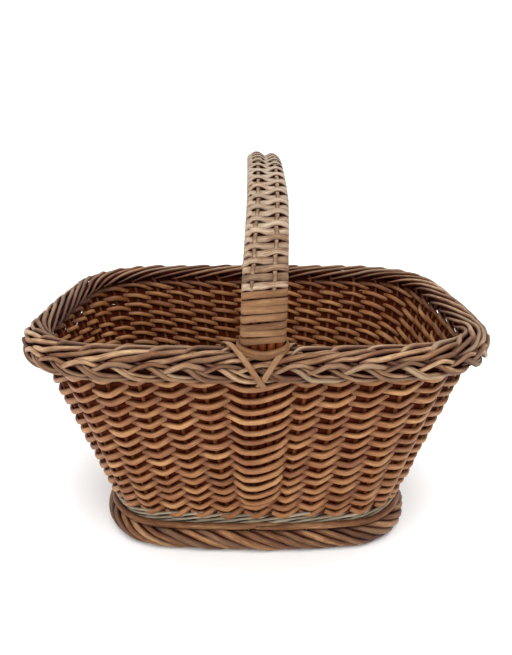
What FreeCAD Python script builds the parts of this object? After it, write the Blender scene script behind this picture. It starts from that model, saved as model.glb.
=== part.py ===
import FreeCAD, Part
import math
import os

from FreeCAD import Placement, Rotation, Vector

# Woven market basket. Millimetres, +Z up, origin on the ground at the middle of the foot.
# X runs along the basket, Y from the front (-Y) to the rear (+Y); the handle crosses it along Y.

doc = FreeCAD.newDocument("woven_market_basket")
sheet = doc.addObject("Spreadsheet::Sheet", "sizes")

SIZES = {
    # Border, the plaited rim at the top.
    "rim_length": 450.0,
    "rim_breadth": 346.0,
    "rim_corner_radius": 98.0,
    "rim_side_radius": 1500.0,
    "rim_end_radius": 1440.0,
    "rim_top": 237.0,
    "rim_depth": 36.0,
    "rim_thickness": 31.5,
    "rim_rounding": 12.0,
    "rim_overhang": 16.5,
    "roll_inside_depth": 26.0,
    "roll_outside_depth": 15.0,
    # Foot, the rolled ring that the basket stands on.
    "foot_length": 334.0,
    "foot_breadth": 252.0,
    "foot_corner_radius": 79.0,
    "foot_side_radius": 900.0,
    "foot_end_radius": 870.0,
    "foot_depth": 25.0,
    "foot_thickness": 29.0,
    "foot_rounding": 9.0,
    "foot_overhang": 14.0,
    "foot_rod_diameter": 6.5,
    # Wall: waling at the bottom, randing above it, and the stakes inside both.
    "wall_thickness": 10.0,
    "wale_row_count": 3,
    "wale_row_depth": 5.4,
    "wale_proud": 0.8,
    "stake_diameter": 4.6,
    "side_stake_count": 11,
    "end_stake_count": 9,
    "stake_pitch_low": 26.0,
    "stake_pitch_high": 28.5,
    "bow_stake_gap": 45.0,
    # Bottom of the basket.
    "base_thickness": 10.0,
    "cross_stick_count": 9,
    "cross_stick_diameter": 8.0,
    "long_stick_count": 5,
    "long_stick_diameter": 5.0,
    # Handle: bow rods, the skein wound round them, listing rods, collars and lashings.
    "handle_offset": 8.0,
    "handle_top": 386.0,
    "handle_shoulder_angle": 50.0,
    "bow_rod_count": 5,
    "bow_rod_diameter": 7.0,
    "bow_rod_gap": 0.5,
    "bow_tip_height": 70.0,
    "skein_thickness": 1.2,
    "plain_wrap_angle": 32.0,
    "listing_diameter": 3.6,
    "listing_spacing": 15.0,
    "listing_bed": 0.5,
    "collar_depth": 7.0,
    "collar_thickness": 2.6,
    "lashing_width": 5.5,
    "lashing_thickness": 1.4,
    "lashing_spread": 31.0,
}

for row, (alias, value) in enumerate(SIZES.items(), start=1):
    sheet.set(f"A{row}", alias)
    sheet.set(f"B{row}", str(value))
    sheet.setAlias(f"B{row}", alias)
doc.recompute()


def size(alias):
    return float(sheet.get(alias))


def count(alias):
    return int(round(size(alias)))


UP = Vector(0, 0, 1)
ALONG = Vector(1, 0, 0)
QUARTER = math.pi / 2
FAR = 2000.0  # further out than any part of the basket
HANDLE_ROUND = 0.9  # share of the handle's half depth that its rounded edges take


class Oval:
    """Closed outline of tangent arcs, symmetric about X and Y, that starts at the front's middle."""

    def __init__(self, half_length, half_breadth, corner, side, end):
        self.values = (half_length, half_breadth, corner, side, end)
        side_centre = (0.0, half_breadth - side)
        end_centre = (half_length - end, 0.0)
        # The corner's centre lies (side - corner) from one centre and (end - corner) from the other.
        apart = math.hypot(end_centre[0], side_centre[1])
        along = ((side - corner) ** 2 - (end - corner) ** 2 + apart ** 2) / (2 * apart)
        across = math.sqrt((side - corner) ** 2 - along ** 2)
        step = (end_centre[0] / apart, -side_centre[1] / apart)
        x = step[0] * along + abs(step[1]) * across
        y = side_centre[1] + step[1] * along + abs(step[0]) * across
        high = math.atan2(y - side_centre[1], x)
        low = math.atan2(y, x - end_centre[0])
        turn = math.pi
        self.arcs = [
            ((0, -side_centre[1]), side, -QUARTER, -high),
            ((x, -y), corner, -high, -low),
            (end_centre, end, -low, low),
            ((x, y), corner, low, high),
            (side_centre, side, high, turn - high),
            ((-x, y), corner, turn - high, turn - low),
            ((-end_centre[0], 0), end, turn - low, turn + low),
            ((-x, -y), corner, turn + low, turn + high),
            ((0, -side_centre[1]), side, turn + high, turn + QUARTER),
        ]
        self.length = sum(radius * (stop - start) for _, radius, start, stop in self.arcs)

    def inset(self, distance):
        return Oval(*(value - distance for value in self.values))

    def mix(self, other, share):
        return Oval(*(a + (b - a) * share for a, b in zip(self.values, other.values)))

    def wire(self, height):
        edges = []
        for centre, radius, start, stop in self.arcs:
            points = [
                Vector(centre[0] + radius * math.cos(angle), centre[1] + radius * math.sin(angle), height)
                for angle in (start, (start + stop) / 2, stop)
            ]
            edges.append(Part.Arc(*points).toShape())
        return Part.Wire(edges)

    def point(self, distance, height):
        """Point at a distance along the outline, counter-clockwise from the front's middle."""
        left = distance % self.length
        for centre, radius, start, stop in self.arcs:
            run = radius * (stop - start)
            if left <= run:
                break
            left -= run
        angle = start + left / radius
        return Vector(centre[0] + radius * math.cos(angle), centre[1] + radius * math.sin(angle), height)

    def middles(self):
        """Point in the middle of every arc, on the ground."""
        ends = [0.0]
        for _, radius, start, stop in self.arcs:
            ends.append(ends[-1] + radius * (stop - start))
        return [self.point((start + stop) / 2, 0) for start, stop in zip(ends, ends[1:])]

    def turned(self, profile, arc, start, stop):
        """Revolves a profile, drawn outward from the outline in XZ, along a part of one arc."""
        centre, radius = self.arcs[arc][:2]
        face = profile.copy()
        face.translate(Vector(radius, 0, 0))
        face.rotate(Vector(), UP, math.degrees(start))
        face.translate(Vector(centre[0], centre[1], 0))
        return face.revolve(Vector(centre[0], centre[1], 0), UP, math.degrees(stop - start))

    def ring(self, profile):
        pieces = [self.turned(profile, i, arc[2], arc[3]) for i, arc in enumerate(self.arcs)]
        return only_solid(pieces[0].multiFuse(pieces[1:]).removeSplitter())


def only_solid(shape):
    """The single solid of a boolean's compound."""
    if len(shape.Solids) != 1:
        raise ValueError(f"expected one solid, found {len(shape.Solids)}")
    return shape.Solids[0]


def rounded_face(left, right, bottom, top, radius):
    """Rounded rectangle in the XZ plane."""
    slope = radius * (1 - math.sqrt(0.5))
    corners = [
        ((left, bottom + radius), (left + slope, bottom + slope), (left + radius, bottom)),
        ((right - radius, bottom), (right - slope, bottom + slope), (right, bottom + radius)),
        ((right, top - radius), (right - slope, top - slope), (right - radius, top)),
        ((left + radius, top), (left + slope, top - slope), (left, top - radius)),
    ]
    edges = []
    for i, corner in enumerate(corners):
        start, middle, stop = [Vector(x, 0, z) for x, z in corner]
        edges.append(Part.Arc(start, middle, stop).toShape())
        following = corners[(i + 1) % len(corners)][0]
        edges.append(Part.makeLine(stop, Vector(following[0], 0, following[1])))
    return Part.Face(Part.Wire(edges))


def polygon_face(points):
    corners = [Vector(x, 0, z) for x, z in points]
    return Part.makeFace(Part.makePolygon(corners + corners[:1]), "Part::FaceMakerSimple")


def disc_face(x, z, diameter):
    circle = Part.makeCircle(diameter / 2, Vector(x, 0, z), Vector(0, 1, 0))
    return Part.Face(Part.Wire([circle]))


def piece(label, shape):
    """A sub-part whose shape neither a primitive nor a body feature gives."""
    feature = doc.addObject("Part::Feature", label)
    feature.Label = label
    feature.Shape = shape
    feature.Placement = Placement()
    sub_parts.append(feature)
    return feature


def cut_by(label, base, tools):
    """A sub-part that is one object of the document with channels for its neighbours."""
    channels = doc.addObject("Part::Compound", label + "_channels")
    channels.Links = tools
    cut = doc.addObject("Part::Cut", label)
    cut.Label = label
    cut.Base = base
    cut.Tool = channels
    cut.Placement = Placement()
    sub_parts.append(cut)
    return cut


def helper(name, shape):
    feature = doc.addObject("Part::Feature", name)
    feature.Shape = shape
    return feature


sub_parts = []

# ---------------------------------------------------------------- outlines of foot, wall and border

foot_outline = Oval(
    size("foot_length") / 2,
    size("foot_breadth") / 2,
    size("foot_corner_radius"),
    size("foot_side_radius"),
    size("foot_end_radius"),
)
rim_outline = Oval(
    size("rim_length") / 2,
    size("rim_breadth") / 2,
    size("rim_corner_radius"),
    size("rim_side_radius"),
    size("rim_end_radius"),
)
wall_low = size("foot_depth")
wall_high = size("rim_top") - size("rim_depth")
wall_foot_outline = foot_outline.inset(size("foot_overhang"))
wall_rim_outline = rim_outline.inset(size("rim_overhang"))


def wall_outline(height):
    """Outside of the flared wall at a height."""
    return wall_foot_outline.mix(wall_rim_outline, (height - wall_low) / (wall_high - wall_low))


def wall_band(low, high, proud=0.0):
    """One closed band of the wall, open inside, between two heights."""
    solids = []
    for depth in (-proud, size("wall_thickness")):
        wires = [wall_outline(height).inset(depth).wire(height) for height in (low, high)]
        solids.append(Part.makeLoft(wires, True, True))
    return only_solid(solids[0].cut(solids[1]))


# ---------------------------------------------------------------- side stakes


def stake_places(outline, pitch, middle_gap):
    """Distances along an outline at which the stakes stand, by side, from left to right.

    The stakes of a side are one pitch apart, except that both gaps at its middle one have their own size.
    """
    half = outline.length / 2
    middle = (count("side_stake_count") - 1) / 2

    def offset(step):
        return math.copysign(middle_gap + (abs(step) - 1) * pitch, step) if step else 0.0

    def spread(start, stop, number):
        return [start + (stop - start) * (i + 1) / (number + 1) for i in range(number)]

    side = [offset(i - middle) for i in range(count("side_stake_count"))]
    reach = side[-1]
    ends = count("end_stake_count")
    return {
        "front_stakes": side,
        "right_end_stakes": spread(reach, half - reach, ends),
        "rear_stakes": [half + step for step in side],
        "left_end_stakes": spread(half + reach, outline.length - reach, ends),
    }


wall_stake_base = wall_foot_outline.inset(size("wall_thickness") / 2)
wall_stake_top = wall_rim_outline.inset(size("wall_thickness") / 2)
low_places = stake_places(wall_stake_base, size("stake_pitch_low"), size("stake_pitch_low"))
high_places = stake_places(wall_stake_top, size("stake_pitch_high"), size("bow_stake_gap"))

# Level cuts at the foot and under the border end every stake; under the bow the middle ones are short.
stake_room = doc.addObject("Part::Box", "stake_room")
stake_room.setExpression("Length", "sizes.rim_length * 2")
stake_room.setExpression("Width", "sizes.rim_breadth * 2")
stake_room.setExpression("Height", "sizes.rim_top - sizes.rim_depth - sizes.foot_depth")
stake_room.setExpression("Placement.Base.x", "-sizes.rim_length")
stake_room.setExpression("Placement.Base.y", "-sizes.rim_breadth")
stake_room.setExpression("Placement.Base.z", "sizes.foot_depth")
bow_width = "sizes.bow_rod_count * (sizes.bow_rod_diameter + sizes.bow_rod_gap) - sizes.bow_rod_gap"
bow_room = doc.addObject("Part::Box", "bow_room")
bow_room.setExpression("Length", bow_width)
bow_room.setExpression("Width", "sizes.rim_breadth * 2")
bow_room.setExpression("Height", "sizes.rim_top")
bow_room.setExpression("Placement.Base.x", f"sizes.handle_offset - ({bow_width}) / 2")
bow_room.setExpression("Placement.Base.y", "-sizes.rim_breadth")
bow_room.setExpression("Placement.Base.z", "sizes.bow_tip_height")

stake_groups = []
for label in low_places:
    rods = []
    for number, (low, high) in enumerate(zip(low_places[label], high_places[label]), start=1):
        bottom = wall_stake_base.point(low, wall_low)
        lean = (wall_stake_top.point(high, wall_high) - bottom).normalize()
        rod = doc.addObject("Part::Cylinder", f"{label}_{number}")
        rod.setExpression("Radius", "sizes.stake_diameter / 2")
        rod.setExpression("Height", "sizes.rim_top * 1.5")
        # The rod starts a little under the wall, so that the level cut reaches its whole section.
        start = bottom - lean * size("stake_diameter")
        rod.Placement = Placement(start, Rotation(UP, lean))
        rods.append(rod)
    bundle = doc.addObject("Part::Compound", label + "_rods")
    bundle.Links = rods
    levelled = doc.addObject("Part::Common", label + "_levelled")
    levelled.Base = bundle
    levelled.Tool = stake_room
    stake_groups.append(cut_by(label, levelled, [bow_room]))

# ---------------------------------------------------------------- bottom of the basket

floor_outline = wall_foot_outline.inset(size("wall_thickness"))
floor_face = helper("floor_face", Part.Face(floor_outline.wire(wall_low)))
floor_block = doc.addObject("Part::Extrusion", "floor_block")
floor_block.Base = floor_face
floor_block.DirMode = "Custom"
floor_block.Dir = UP
floor_block.Solid = True
floor_block.setExpression("LengthFwd", "sizes.base_thickness")


def base_sticks(prefix, number, span, diameter, direction):
    """Evenly spaced round sticks in the bottom's middle plane, trimmed to its edge."""
    sticks = []
    for i in range(number):
        offset = span * ((i + 1) / (number + 1) - 0.5)
        across = Vector(0, offset, 0) if direction is ALONG else Vector(offset, 0, 0)
        rod = doc.addObject("Part::Cylinder", f"{prefix}_{i + 1}_rod")
        rod.setExpression("Radius", f"sizes.{diameter} / 2")
        rod.setExpression("Height", "sizes.rim_length")
        start = across - direction * (size("rim_length") / 2) + UP * (wall_low + size("base_thickness") / 2)
        rod.Placement = Placement(start, Rotation(UP, direction))
        stick = doc.addObject("Part::Common", f"{prefix}_{i + 1}_trimmed")
        stick.Base = rod
        stick.Tool = floor_block
        sticks.append(stick)
    return sticks


def linked(label, source):
    """A sub-part that is a whole object of the document."""
    feature = doc.addObject("Part::Compound", label)
    feature.Label = label
    feature.Links = [source]
    sub_parts.append(feature)


floor_length, floor_breadth = (2 * value for value in floor_outline.values[:2])
long_sticks = base_sticks(
    "base_long_stick", count("long_stick_count"), floor_breadth, "long_stick_diameter", ALONG
)
cross_sticks = base_sticks(
    "base_cross_stick", count("cross_stick_count"), floor_length, "cross_stick_diameter", Vector(0, 1, 0)
)
for number, stick in enumerate(long_sticks, start=1):
    linked(f"base_long_stick_{number}", stick)
# The thick cross sticks are pierced and the thin long ones pass through them.
for number, stick in enumerate(cross_sticks, start=1):
    cut_by(f"base_cross_stick_{number}", stick, long_sticks)
cut_by("base_weave", floor_block, long_sticks + cross_sticks)

# ---------------------------------------------------------------- foot

foot_profile = rounded_face(
    -size("foot_thickness"), 0, 0, size("foot_depth"), size("foot_rounding")
)
piece("foot_border", foot_outline.ring(foot_profile))

# The rod lies on the foot border, clear of the flared wall where it leans most.
wall_flares = [
    (top - low).Length for top, low in zip(wall_rim_outline.middles(), wall_foot_outline.middles())
]
wall_lean = math.atan2(max(wall_flares), wall_high - wall_low)
rod_radius = size("foot_rod_diameter") / 2
rod_out = size("wale_proud") + rod_radius / math.cos(wall_lean) + rod_radius * math.tan(wall_lean)
rod_profile = disc_face(rod_out, wall_low + rod_radius, size("foot_rod_diameter"))
piece("foot_rod", wall_foot_outline.ring(rod_profile))

# ---------------------------------------------------------------- wall

wale_tops = [
    wall_low + size("wale_row_depth") * (row + 1) for row in range(count("wale_row_count"))
]
for number, top in enumerate(wale_tops, start=1):
    band = helper(f"wale_band_{number}", wall_band(top - size("wale_row_depth"), top, size("wale_proud")))
    cut_by(f"upsett_wale_{number}", band, stake_groups)

# ---------------------------------------------------------------- path of the handle


class Bow:
    """Line of the handle in the YZ plane: up the front wall, over three arcs, down the rear wall."""

    def __init__(self):
        middle_low = wall_stake_base.values[1]
        middle_high = wall_stake_top.values[1]
        slope = (middle_high - middle_low) / (wall_high - wall_low)
        self.lean = math.atan(slope)
        self.spring = (-(middle_low + slope * (size("rim_top") - wall_low)), size("rim_top"))
        tip = size("bow_tip_height")
        self.tip = (-(middle_low + slope * (tip - wall_low)), tip)
        self.half_depth = size("bow_rod_diameter") / 2 + size("skein_thickness")
        # Headings, from the spring of the arch to the shoulder and the crown, give both radii.
        start = QUARTER + self.lean
        blend = math.radians(size("handle_shoulder_angle"))
        rise = size("handle_top") - self.half_depth - self.spring[1]
        half_span = -self.spring[0]
        run = (math.sin(start) - math.sin(blend), math.sin(blend))
        lift = (math.cos(blend) - math.cos(start), 1 - math.cos(blend))
        scale = run[0] * lift[1] - run[1] * lift[0]
        shoulder = (half_span * lift[1] - run[1] * rise) / scale
        crown = (run[0] * rise - half_span * lift[0]) / scale
        self.arcs = [(shoulder, start, blend), (crown, blend, -blend), (shoulder, -blend, -start)]

    def frame(self, point, heading):
        """Placement of a face drawn with X across the handle and Z away from the arch's inside."""
        outward = Vector(0, -math.sin(heading), math.cos(heading))
        tangent = Vector(0, math.cos(heading), math.sin(heading))
        across = Vector(size("handle_offset"), point[0], point[1])
        return Placement(across, Rotation(ALONG, tangent, outward, "XZY"))

    def arch(self, face, start, stop):
        """Turns a face along the arch between two headings."""
        pieces = []
        point = self.spring
        for radius, begin, end in self.arcs:
            outward = (-math.sin(begin), math.cos(begin))
            centre = (point[0] - radius * outward[0], point[1] - radius * outward[1])
            first, last = min(begin, start), max(end, stop)
            if first > last + 1e-9:
                turned = face.copy()
                at = (centre[0] - radius * math.sin(first), centre[1] + radius * math.cos(first))
                turned.Placement = self.frame(at, first)
                pivot = Vector(0, centre[0], centre[1])
                pieces.append(turned.revolve(pivot, -ALONG, math.degrees(first - last)))
            point = (centre[0] - radius * math.sin(end), centre[1] + radius * math.cos(end))
        return pieces

    def legs(self, face):
        """Straight runs of a face up the front wall and, mirrored, up the rear one."""
        placed = face.copy()
        placed.Placement = self.frame(self.tip, QUARTER + self.lean)
        path = Vector(0, self.spring[0] - self.tip[0], self.spring[1] - self.tip[1])
        front = placed.extrude(path)
        return [front, front.mirror(Vector(), Vector(0, 1, 0))]


def joined(pieces):
    if len(pieces) == 1:
        return only_solid(pieces[0])
    return only_solid(pieces[0].multiFuse(pieces[1:]).removeSplitter())


bow = Bow()
spring_heading = QUARTER + bow.lean
plain_heading = spring_heading - math.radians(size("plain_wrap_angle"))

rod_count = count("bow_rod_count")
rod_pitch = size("bow_rod_diameter") + size("bow_rod_gap")
rod_offsets = [(i - (rod_count - 1) / 2) * rod_pitch for i in range(rod_count)]
rod_faces = [disc_face(offset, 0, size("bow_rod_diameter")) for offset in rod_offsets]
bow_rods = []
for number, face in enumerate(rod_faces, start=1):
    rod_shape = joined(bow.legs(face) + bow.arch(face, spring_heading, -spring_heading))
    bow_rods.append(piece(f"handle_bow_rod_{number}", rod_shape))

# ---------------------------------------------------------------- side weave and border

weave_band = helper("weave_band", wall_band(wale_tops[-1], wall_high))
cut_by("side_weave", weave_band, stake_groups + bow_rods)

rim_profile = rounded_face(
    -size("rim_thickness"), 0, wall_high, size("rim_top"), size("rim_rounding")
)


def parting(outward):
    """Height of the slanting line between the rolled rods, inside, and the plait, outside."""
    slope = (size("roll_inside_depth") - size("roll_outside_depth")) / size("rim_thickness")
    return size("rim_top") - size("roll_outside_depth") + slope * outward


def half_plane(far_height):
    """The side of the parting line that holds a height far above or below the border."""
    ends = [-size("rim_length"), size("rim_length")]
    line = [(end, parting(end)) for end in ends]
    return polygon_face(line + [(end, far_height) for end in reversed(ends)])


roll_ring = helper("roll_ring", rim_outline.ring(rim_profile.common(half_plane(FAR)).Faces[0]))
plait_ring = helper("plait_ring", rim_outline.ring(rim_profile.common(half_plane(-FAR)).Faces[0]))
border_roll = cut_by("border_roll", roll_ring, bow_rods)
border_plait = cut_by("border_plait", plait_ring, bow_rods)

# The stretches of border under the handle's feet, whole, which the handle's trim is fitted over.
side_radius = size("rim_side_radius")
patch_turn = (size("lashing_spread") + size("handle_offset") + 3 * size("lashing_width")) / side_radius
patch_span = (0, -QUARTER - patch_turn, -QUARTER + patch_turn)
front_patch = rim_outline.turned(rim_profile, *patch_span)
border_patches = {
    "front": helper("front_border_patch", front_patch),
    "rear": helper("rear_border_patch", front_patch.mirror(Vector(), Vector(0, 1, 0))),
}

# ---------------------------------------------------------------- handle skein and listing rods

handle_width = (rod_count - 1) * rod_pitch + 2 * bow.half_depth


def handle_face(margin=0.0):
    """Section of the wound handle, with a margin all round."""
    half_width = handle_width / 2 + margin
    half_depth = bow.half_depth + margin
    return rounded_face(-half_width, half_width, -half_depth, half_depth, half_depth * HANDLE_ROUND)


wound_face = handle_face().cut(Part.makeCompound(rod_faces)).Faces[0]
listing_out = (size("bow_rod_diameter") + size("listing_diameter")) / 2 + size("listing_bed")
listing_faces = [
    disc_face(side * size("listing_spacing") / 2, listing_out, size("listing_diameter"))
    for side in (-1, 1)
]
crown_face = wound_face.cut(Part.makeCompound(listing_faces)).Faces[0]
front_skein = helper("front_skein", joined(bow.arch(wound_face, spring_heading, plain_heading)))
rear_skein = helper("rear_skein", joined(bow.arch(wound_face, -plain_heading, -spring_heading)))
piece("crown_wrap", joined(bow.arch(crown_face, plain_heading, -plain_heading)))
front_wrap = cut_by("front_wrap", front_skein, [border_patches["front"]])
rear_wrap = cut_by("rear_wrap", rear_skein, [border_patches["rear"]])
for label, face in zip(("left_listing_rod", "right_listing_rod"), listing_faces):
    piece(label, joined(bow.arch(face, plain_heading, -plain_heading)))

# ---------------------------------------------------------------- lashings and collars

lashing_profile = rounded_face(
    -size("rim_thickness") - size("lashing_thickness"),
    size("lashing_thickness"),
    wall_high - size("lashing_thickness"),
    size("rim_top") + size("lashing_thickness"),
    size("rim_rounding") + size("lashing_thickness"),
).cut(rim_profile)
# Only the half that faces up and outward is lashed; the wall is under the other half.
middle = (-size("rim_thickness") / 2, (wall_high + size("rim_top")) / 2)
facing = polygon_face(
    [
        (middle[0] - FAR, middle[1] + FAR - size("lashing_width")),
        (middle[0] + FAR, middle[1] - FAR - size("lashing_width")),
        (middle[0] + FAR, middle[1] + FAR),
    ]
)
lashing_profile = lashing_profile.common(facing).Faces[0]
lashing_skin = rim_outline.turned(lashing_profile, *patch_span)


def lashing_slab(side):
    """Slab that runs from beside the handle, on top, to the border's bottom under the handle."""
    inner_top = Vector(0, size("rim_thickness") - size("rim_breadth") / 2, size("rim_top"))
    outer_low = Vector(0, -size("rim_breadth") / 2, wall_high)
    top = inner_top + ALONG * (size("handle_offset") + side * size("lashing_spread"))
    foot = outer_low + ALONG * size("handle_offset")
    through = Vector(0, 1, -1).normalize()
    drop = foot - top
    run = drop - through * drop.dot(through)
    length = run.Length + 2 * size("lashing_width")
    box = Part.makeBox(length, size("lashing_width"), 2 * size("rim_depth"))
    box.translate(-Vector(size("lashing_width"), size("lashing_width") / 2, size("rim_depth")))
    across = through.cross(run).normalize()
    box.Placement = Placement(top, Rotation(run, across, through, "XZY")) * box.Placement
    return box


lashings = {}
for side in ("front", "rear"):
    straps = [lashing_skin.common(lashing_slab(hand)) for hand in (-1, 1)]
    if side == "rear":
        straps = [strap.mirror(Vector(), Vector(0, 1, 0)) for strap in straps]
    over = piece(f"{side}_left_lashing", straps[0])
    under = cut_by(f"{side}_right_lashing", helper(f"{side}_right_strap", straps[1]), [over])
    lashings[side] = [over, under]

collar_block = handle_face(size("collar_thickness"))
collar_block.Placement = bow.frame(bow.spring, spring_heading)
spring_run = Vector(0, math.cos(spring_heading), math.sin(spring_heading)) * size("collar_depth")
front_block = collar_block.extrude(spring_run)
blocks = {"front": front_block, "rear": front_block.mirror(Vector(), Vector(0, 1, 0))}
for side, wrap in (("front", front_wrap), ("rear", rear_wrap)):
    block = helper(f"{side}_collar_block", blocks[side])
    cut_by(f"{side}_collar", block, [wrap, border_patches[side]] + bow_rods + lashings[side])

# ---------------------------------------------------------------- checks and export

doc.recompute()
for entry in doc.Objects:
    if "Invalid" in entry.State or "Error" in entry.State:
        raise RuntimeError(f"{entry.Name} failed: {entry.State}")
for entry in sub_parts:
    if entry.Shape.isNull() or not entry.Shape.isValid() or not entry.Shape.Solids:
        raise RuntimeError(f"{entry.Label} has no valid solid")

os.makedirs("parts", exist_ok=True)
for entry in sub_parts:
    entry.Shape.exportStep(f"parts/{entry.Label}.step")
    print(f"{entry.Label}: {len(entry.Shape.Solids)} solids, {entry.Shape.Volume:.0f} mm3")
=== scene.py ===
import math

import bpy
import numpy as np
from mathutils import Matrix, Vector


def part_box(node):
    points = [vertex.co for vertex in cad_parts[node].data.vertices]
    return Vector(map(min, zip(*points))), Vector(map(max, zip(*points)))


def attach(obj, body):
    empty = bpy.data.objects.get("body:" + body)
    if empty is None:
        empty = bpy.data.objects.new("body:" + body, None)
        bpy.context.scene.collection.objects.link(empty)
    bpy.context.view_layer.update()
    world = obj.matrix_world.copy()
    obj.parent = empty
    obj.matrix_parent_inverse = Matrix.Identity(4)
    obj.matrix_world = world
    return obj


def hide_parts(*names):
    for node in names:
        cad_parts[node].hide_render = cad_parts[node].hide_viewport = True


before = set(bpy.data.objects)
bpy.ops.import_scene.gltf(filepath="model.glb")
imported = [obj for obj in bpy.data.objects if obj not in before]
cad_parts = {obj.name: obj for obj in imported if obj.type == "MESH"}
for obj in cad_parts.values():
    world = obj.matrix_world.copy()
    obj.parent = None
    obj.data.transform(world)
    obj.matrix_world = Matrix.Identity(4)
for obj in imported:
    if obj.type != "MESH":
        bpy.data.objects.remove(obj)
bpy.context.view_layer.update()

# Woven market basket. Lengths are in millimetres until a mesh is built; the frame is in metres.
MM = 0.001
rng = np.random.default_rng(303)


def node_box(name):
    """Lowest and highest corner of a CAD node, in millimetres."""
    low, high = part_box(name)
    return np.array(low) / MM, np.array(high) / MM


# ---- sizes read from the frame

plait_low, plait_high = node_box("border_plait")
_, roll_high = node_box("border_roll")
foot_low, foot_high = node_box("foot_border")
weave_low, weave_high = node_box("side_weave")
rod_low, rod_high = node_box("handle_bow_rod_3")
base_low, base_high = node_box("base_weave")

RIM_TOP = roll_high[2]
RIM_LOW = plait_low[2]
RIM_DEPTH = RIM_TOP - RIM_LOW
RIM_THICKNESS = 31.5  # of the border, from its outside to its inside
WALL_LOW = foot_high[2]
WALL_HIGH = weave_high[2]
WEAVE_LOW = weave_low[2]
WALL_THICKNESS = 10.0
RIM_OVERHANG = 16.5  # the border stands out from the wall
FOOT_OVERHANG = 14.0  # and so does the foot
HANDLE_X = (rod_low[0] + rod_high[0]) / 2
SIDE_STAKES = 11
END_STAKES = 9
STAKES = 2 * (SIDE_STAKES + END_STAKES)
STAKE_PITCH_LOW = 26.0
STAKE_PITCH_HIGH = 28.5
BOW_STAKE_GAP = 45.0  # at the top, from the middle stake to the next on either hand
BOW_HALF = 18.5  # half the width of the five bow rods side by side
BOW_TIP = rod_low[2]


class Oval:
    """Outline of tangent arcs that starts at the front's middle and runs counter-clockwise.

    Corner, side and end are the radii of the corners, of the long sides and of the short ends.
    """

    def __init__(self, half_length, half_breadth, corner, side, end):
        self.values = np.array([half_length, half_breadth, corner, side, end], float)
        side_y, end_x = half_breadth - side, half_length - end
        apart = math.hypot(end_x, side_y)
        along = ((side - corner) ** 2 - (end - corner) ** 2 + apart**2) / (2 * apart)
        across = math.sqrt((side - corner) ** 2 - along**2)
        x = end_x / apart * along + abs(side_y / apart) * across
        y = side_y - side_y / apart * along + abs(end_x / apart) * across
        high, low = math.atan2(y - side_y, x), math.atan2(y, x - end_x)
        half, turn = math.pi / 2, math.pi
        self.arcs = np.array(
            [
                (0, -side_y, side, -half, -high),
                (x, -y, corner, -high, -low),
                (end_x, 0, end, -low, low),
                (x, y, corner, low, high),
                (0, side_y, side, high, turn - high),
                (-x, y, corner, turn - high, turn - low),
                (-end_x, 0, end, turn - low, turn + low),
                (-x, -y, corner, turn + low, turn + high),
                (0, -side_y, side, turn + high, turn + half),
            ]
        )
        self.ends = np.cumsum(self.arcs[:, 2] * (self.arcs[:, 4] - self.arcs[:, 3]))
        self.length = self.ends[-1]

    def inset(self, distance):
        return Oval(*(self.values - distance))

    def at(self, distance):
        """Points and outward normals at distances along the outline."""
        s = np.mod(np.asarray(distance, float), self.length)
        i = np.minimum(np.searchsorted(self.ends, s, side="right"), len(self.arcs) - 1)
        before = np.concatenate([[0.0], self.ends[:-1]])[i]
        cx, cy, radius, start, _ = self.arcs[i].T
        angle = start + (s - before) / radius
        normal = np.stack([np.cos(angle), np.sin(angle)], -1)
        return np.stack([cx, cy], -1) + radius[..., None] * normal, normal


rim_outline = Oval(plait_high[0], plait_high[1], corner=98.0, side=1500.0, end=1440.0)
foot_outline = Oval(
    (foot_high[0] - foot_low[0]) / 2, foot_high[1], corner=79.0, side=900.0, end=870.0
)
wall_bottom = foot_outline.inset(FOOT_OVERHANG + WALL_THICKNESS / 2)
wall_top = rim_outline.inset(RIM_OVERHANG + WALL_THICKNESS / 2)


def stake_distances(outline, pitch, middle_gap):
    """Distance along an outline of every stake; stake 0 is the front's middle one."""
    half, first = outline.length / 2, (SIDE_STAKES - 1) // 2
    one_hand = middle_gap + pitch * np.arange(first)
    side = np.concatenate([-one_hand[::-1], [0.0], one_hand])
    reach = side[-1]
    right = np.linspace(reach, half - reach, END_STAKES + 2)[1:-1]
    left = np.linspace(half + reach, outline.length - reach, END_STAKES + 2)[1:-1]
    around = np.concatenate([side, right, half + side, left])
    return np.concatenate([around[first:], around[:first] + outline.length])


def stake_line(outline, pitch, middle_gap):
    """Distance at any stake number, also between stakes and past a full turn."""
    distances, length = stake_distances(outline, pitch, middle_gap), outline.length

    def at(number):
        number = np.asarray(number, float)
        turns = np.floor(number / STAKES)
        knots = np.append(distances, distances[0] + length)
        return turns * length + np.interp(number - turns * STAKES, np.arange(STAKES + 1), knots)

    return at


low_at = stake_line(wall_bottom, STAKE_PITCH_LOW, STAKE_PITCH_LOW)
high_at = stake_line(wall_top, STAKE_PITCH_HIGH, BOW_STAKE_GAP)


def wall_point(number, height, out):
    """Point of the wall at a stake number and a height, out from its middle surface."""
    number, height, out = np.broadcast_arrays(number, height, out)
    low, low_normal = wall_bottom.at(low_at(number))
    high, high_normal = wall_top.at(high_at(number))
    share = ((height - WALL_LOW) / (WALL_HIGH - WALL_LOW))[..., None]
    normal = low_normal + (high_normal - low_normal) * share
    normal /= np.linalg.norm(normal, axis=-1, keepdims=True)
    lean = ((high - low) * normal).sum(-1) / (WALL_HIGH - WALL_LOW)
    normal = np.concatenate([normal, -lean[..., None]], -1)
    normal /= np.linalg.norm(normal, axis=-1, keepdims=True)
    middle = np.concatenate([low + (high - low) * share, height[..., None]], -1)
    return middle + normal * out[..., None], normal


# ---- strands


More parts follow.
